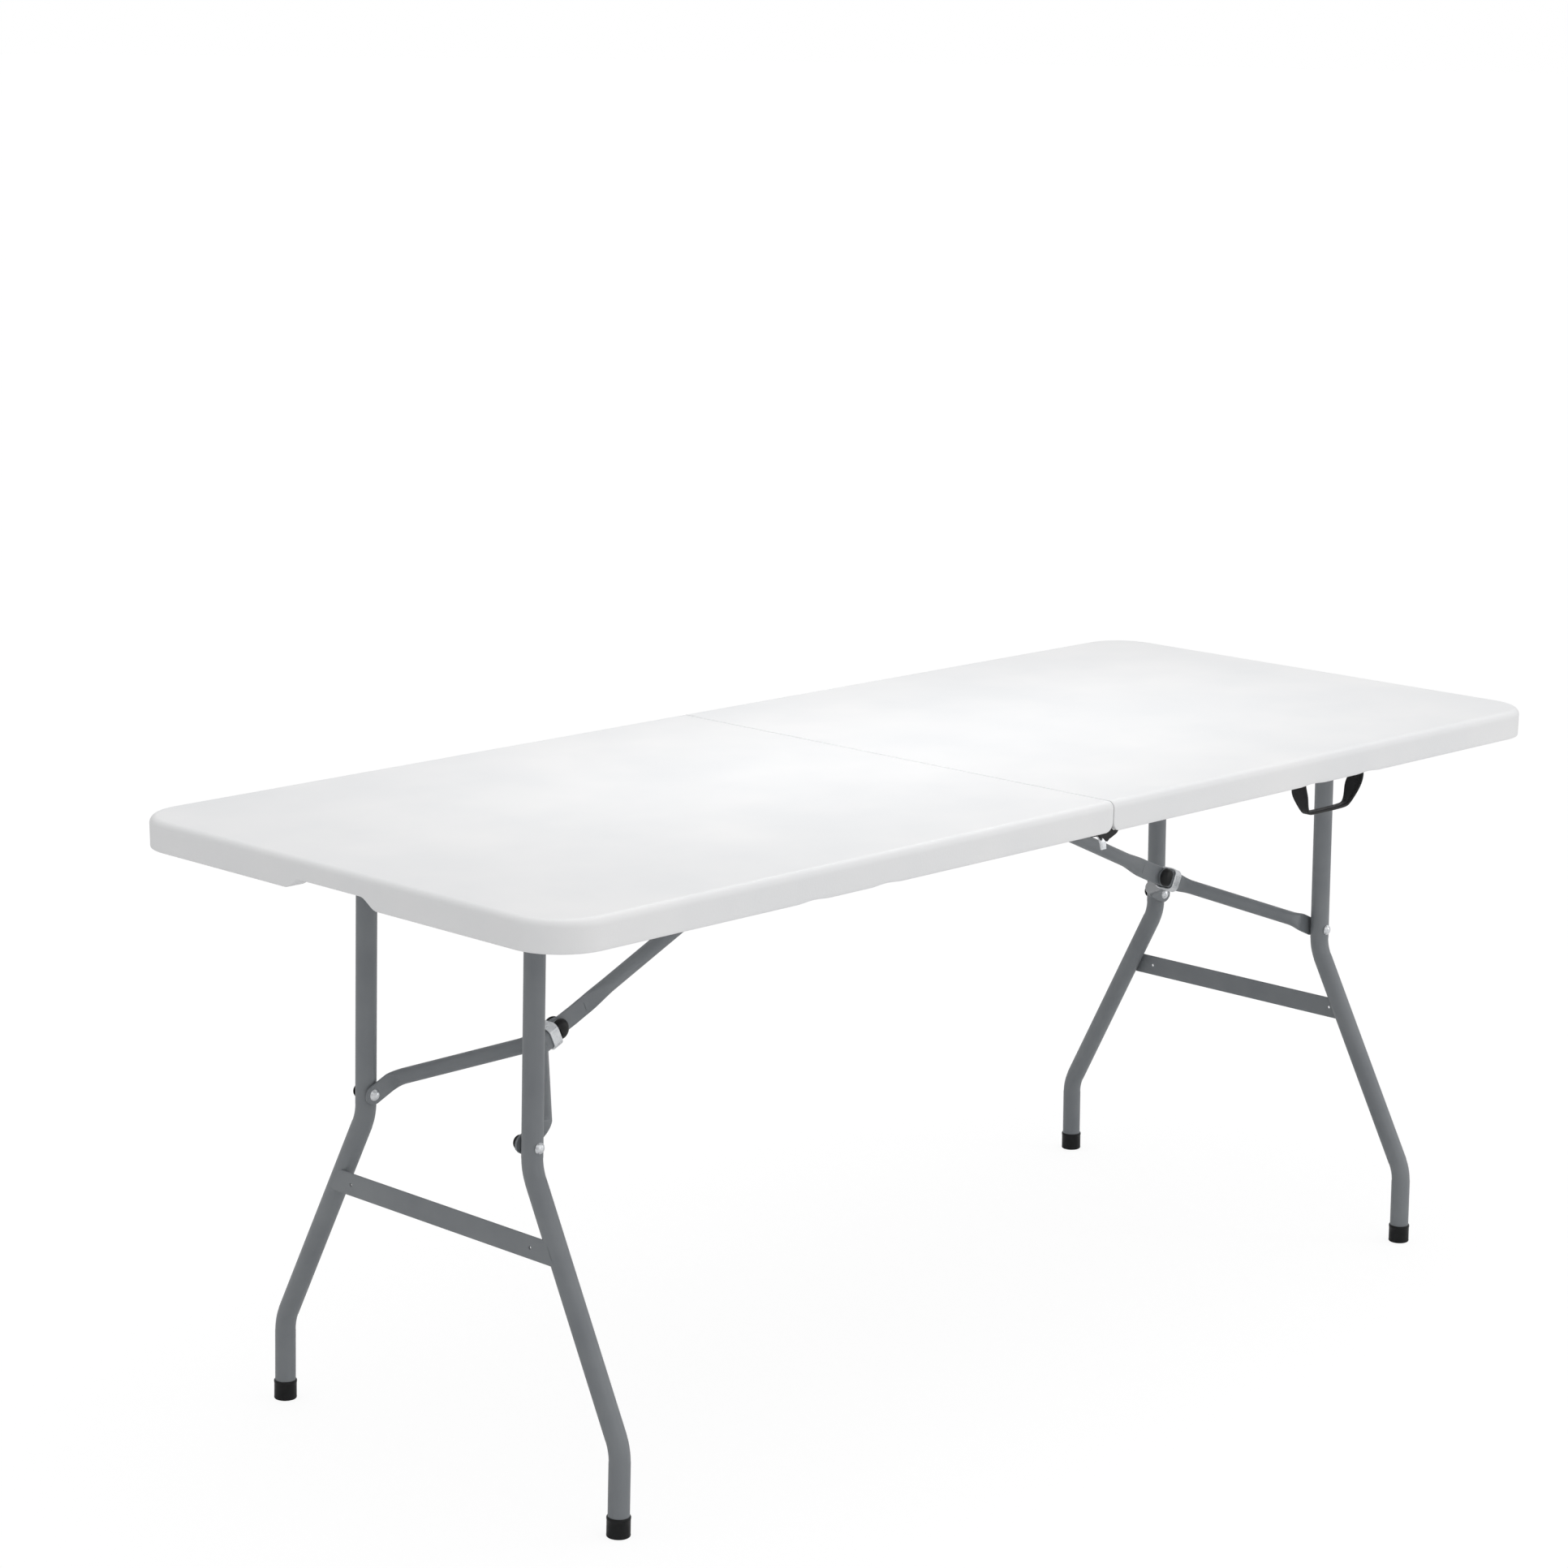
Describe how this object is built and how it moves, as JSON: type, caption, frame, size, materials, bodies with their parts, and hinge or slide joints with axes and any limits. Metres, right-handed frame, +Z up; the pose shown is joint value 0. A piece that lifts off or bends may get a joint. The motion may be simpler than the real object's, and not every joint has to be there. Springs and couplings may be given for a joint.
{
  "type": "folding picnic table",
  "caption": "Rectangular table with a hollow plastic top in two hinged halves, folding steel leg frames, knuckle braces with sliding lock rings and a carry handle.",
  "frame": {"origin": "on the floor under the centre of the open table", "axes": "+X along the table's length towards the half with the handle, +Y across it away from the handle, +Z up"},
  "size_m": [1.8, 0.74, 0.74],
  "materials": {
    "white_polyethylene": "blow-moulded white polyethylene with a fine leathery grain",
    "grey_powder_coat": "satin grey powder coat on steel tube",
    "black_plastic": "black injection-moulded plastic",
    "zinc_plated_steel": "bright zinc plating"
  },
  "bodies": {
    "left_top": {"left_top_panel": "white_polyethylene", "left_side_rails": "grey_powder_coat", "left_deck_screws": "zinc_plated_steel", "left_pivot_brackets": "zinc_plated_steel", "left_brace_saddles": "zinc_plated_steel", "left_front_hinge_leaf": "grey_powder_coat", "left_back_hinge_leaf": "grey_powder_coat", "left_leaf_bolts": "zinc_plated_steel", "centre_hinge_pins": "zinc_plated_steel", "lock_lever_pins": "zinc_plated_steel"},
    "right_top": {"right_top_panel": "white_polyethylene", "right_side_rails": "grey_powder_coat", "right_deck_screws": "zinc_plated_steel", "right_pivot_brackets": "zinc_plated_steel", "right_brace_saddles": "zinc_plated_steel", "right_front_hinge_leaf": "grey_powder_coat", "right_back_hinge_leaf": "grey_powder_coat", "right_leaf_bolts": "zinc_plated_steel", "handle_brackets": "grey_powder_coat", "handle_pins": "zinc_plated_steel"},
    "left_leg_frame": {"left_pivot_tube": "grey_powder_coat", "left_pivot_bushes": "black_plastic", "left_front_leg_tube": "grey_powder_coat", "left_back_leg_tube": "grey_powder_coat", "left_crossbar": "grey_powder_coat", "left_foot_caps": "black_plastic", "left_leg_bolts": "zinc_plated_steel", "left_leg_cap_nut": "black_plastic"},
    "left_upper_brace_link": {"left_upper_brace": "grey_powder_coat", "left_anchor_tube": "grey_powder_coat"},
    "left_lower_brace_link": {"left_front_brace_arm": "grey_powder_coat", "left_back_brace_arm": "grey_powder_coat", "left_knuckle_rivet": "zinc_plated_steel", "left_knuckle_caps": "black_plastic", "left_brace_cap_nut": "black_plastic", "left_brace_bolt_head": "zinc_plated_steel"},
    "left_ring": {"left_lock_ring": "zinc_plated_steel"},
    "right_leg_frame": {"right_pivot_tube": "grey_powder_coat", "right_pivot_bushes": "black_plastic", "right_front_leg_tube": "grey_powder_coat", "right_back_leg_tube": "grey_powder_coat", "right_crossbar": "grey_powder_coat", "right_foot_caps": "black_plastic", "right_leg_bolts": "zinc_plated_steel", "right_leg_cap_nut": "black_plastic"},
    "right_upper_brace_link": {"right_upper_brace": "grey_powder_coat", "right_anchor_tube": "grey_powder_coat"},
    "right_lower_brace_link": {"right_front_brace_arm": "grey_powder_coat", "right_back_brace_arm": "grey_powder_coat", "right_knuckle_rivet": "zinc_plated_steel", "right_knuckle_caps": "black_plastic", "right_brace_cap_nut": "black_plastic", "right_brace_bolt_head": "zinc_plated_steel"},
    "right_ring": {"right_lock_ring": "zinc_plated_steel"},
    "handle_strap": {"handle": "black_plastic"},
    "front_lever": {"front_lock_lever": "zinc_plated_steel"},
    "back_lever": {"back_lock_lever": "zinc_plated_steel"}
  },
  "joints": [
    {"name": "centre_fold", "type": "hinge", "parent": "left_top", "child": "right_top", "pos_m": [0, 0, 0.703], "axis": [0, 1, 0], "range_deg": [0, 90]},
    {"name": "left_leg_fold", "type": "hinge", "parent": "left_top", "child": "left_leg_frame", "pos_m": [-0.726, 0, 0.7165], "axis": [0, -1, 0], "range_deg": [0, 91]},
    {"name": "left_upper_brace_swing", "type": "hinge", "parent": "left_top", "child": "left_upper_brace_link", "pos_m": [-0.06, 0, 0.7175], "axis": [0, -1, 0], "range_deg": [-24.26, 0.3]},
    {"name": "left_brace_knuckle", "type": "hinge", "parent": "left_upper_brace_link", "child": "left_lower_brace_link", "pos_m": [-0.56285, 0, 0.49238], "axis": [0, -1, 0], "range_deg": [-0.5, 180.5]},
    {"name": "left_ring_slide", "type": "slide", "parent": "left_upper_brace_link", "child": "left_ring", "axis": [0.9127, 0, 0.4086], "range_m": [-0.001, 0.456]},
    {"name": "right_leg_fold", "type": "hinge", "parent": "right_top", "child": "right_leg_frame", "pos_m": [0.726, 0, 0.7165], "axis": [0, 1, 0], "range_deg": [0, 91]},
    {"name": "right_upper_brace_swing", "type": "hinge", "parent": "right_top", "child": "right_upper_brace_link", "pos_m": [0.06, 0, 0.7175], "axis": [0, 1, 0], "range_deg": [-24.26, 0.3]},
    {"name": "right_brace_knuckle", "type": "hinge", "parent": "right_upper_brace_link", "child": "right_lower_brace_link", "pos_m": [0.56285, 0, 0.49238], "axis": [0, 1, 0], "range_deg": [-0.5, 180.5]},
    {"name": "right_ring_slide", "type": "slide", "parent": "right_upper_brace_link", "child": "right_ring", "axis": [-0.9127, 0, 0.4086], "range_m": [-0.001, 0.456]},
    {"name": "handle_swing", "type": "hinge", "parent": "right_top", "child": "handle_strap", "pos_m": [0.478, -0.331, 0.709], "axis": [1, 0, 0], "range_deg": [0, 50]},
    {"name": "front_lever_swing", "type": "hinge", "parent": "left_top", "child": "front_lever", "pos_m": [-0.03, -0.3397, 0.713], "axis": [0, 1, 0], "range_deg": [0, 25], "stiffness_Nm_per_rad": 0.05, "springref_deg": -17.19},
    {"name": "back_lever_swing", "type": "hinge", "parent": "left_top", "child": "back_lever", "pos_m": [-0.03, 0.3397, 0.713], "axis": [0, 1, 0], "range_deg": [0, 25], "stiffness_Nm_per_rad": 0.05, "springref_deg": -17.19}
  ],
  "couplings": [
    {"joint": "left_upper_brace_swing", "follows": "left_leg_fold", "ratio": -0.26331},
    {"joint": "left_brace_knuckle", "follows": "left_leg_fold", "ratio": 1.978},
    {"joint": "left_ring_slide", "follows": "left_leg_fold", "m_per_rad": 0.28648},
    {"joint": "right_upper_brace_swing", "follows": "right_leg_fold", "ratio": -0.26331},
    {"joint": "right_brace_knuckle", "follows": "right_leg_fold", "ratio": 1.978},
    {"joint": "right_ring_slide", "follows": "right_leg_fold", "m_per_rad": 0.28648}
  ]
}
